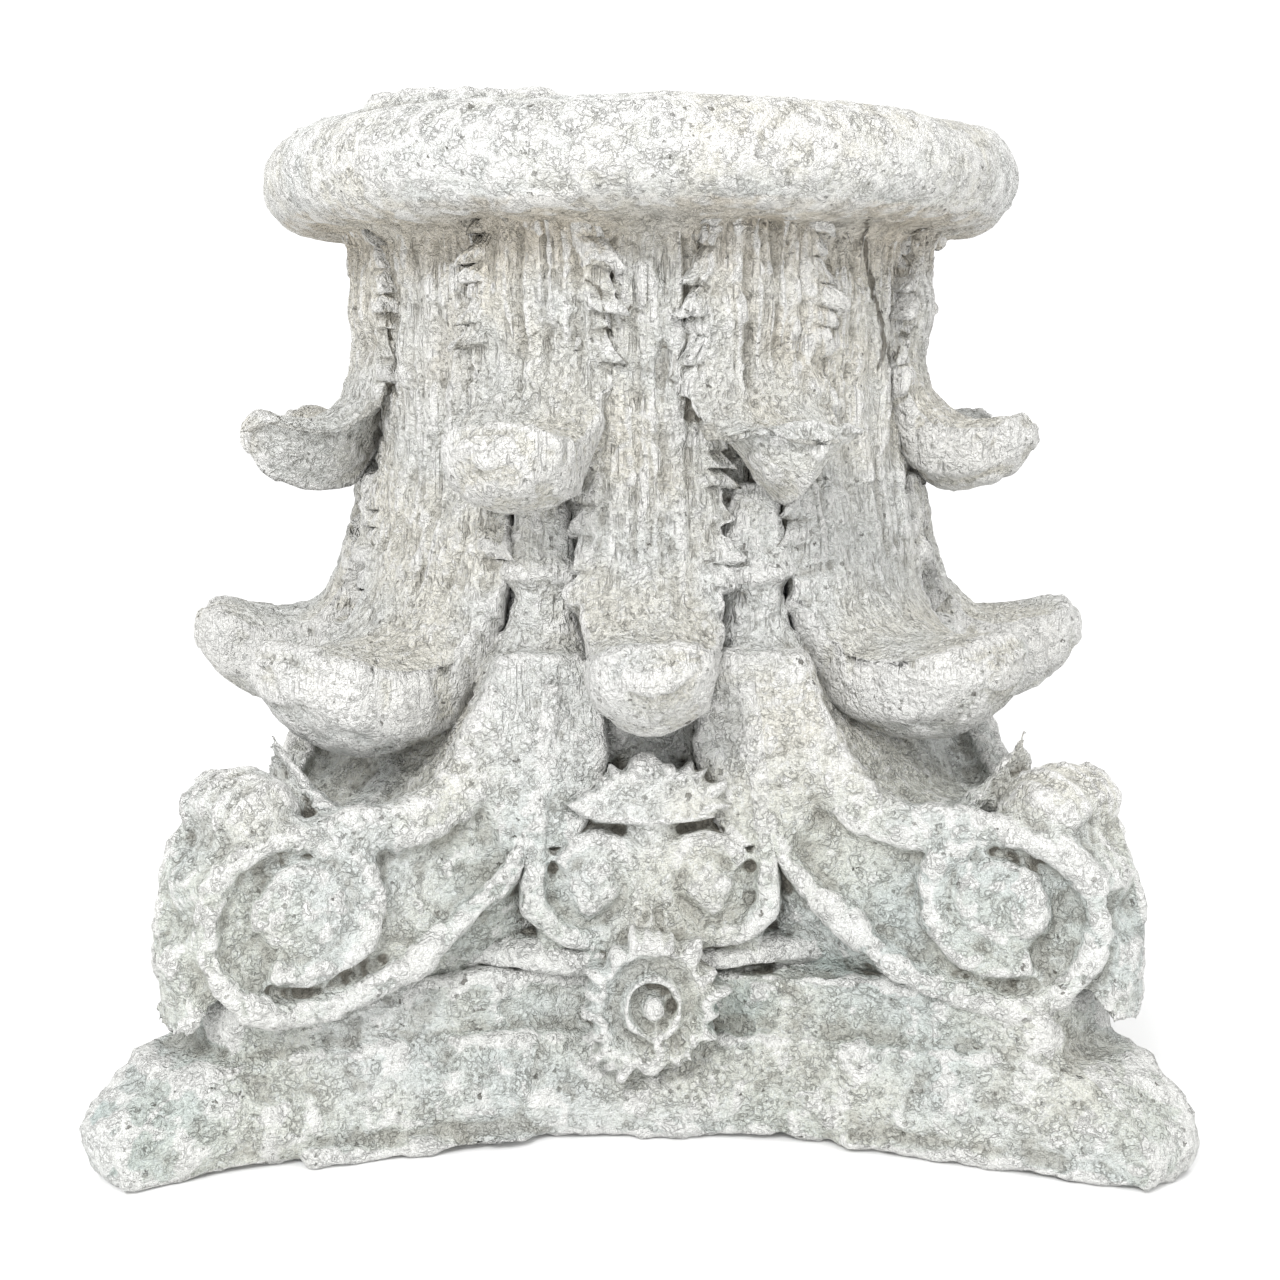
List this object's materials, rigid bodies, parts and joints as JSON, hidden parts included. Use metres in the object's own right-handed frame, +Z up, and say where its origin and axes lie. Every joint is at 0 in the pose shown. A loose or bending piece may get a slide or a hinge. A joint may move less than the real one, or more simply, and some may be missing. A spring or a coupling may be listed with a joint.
{
  "type": "corinthian capital",
  "caption": "Weathered cast stone Corinthian capital standing inverted on its abacus: necking ring, leaves with curled tips, corner scrolls and a hollow-sided abacus.",
  "frame": {"origin": "middle of the abacus's flat bearing face, which the capital stands on", "axes": "+Z up from the abacus to the necking ring, -Y out of the front face, +X to the right seen from the front"},
  "size_m": [0.486, 0.486, 0.4735],
  "materials": {
    "cast_stone": "weathered, pitted and rough, with algae and lime stains"
  },
  "bodies": {
    "root": {"capital": "cast_stone"}
  },
  "joints": []
}
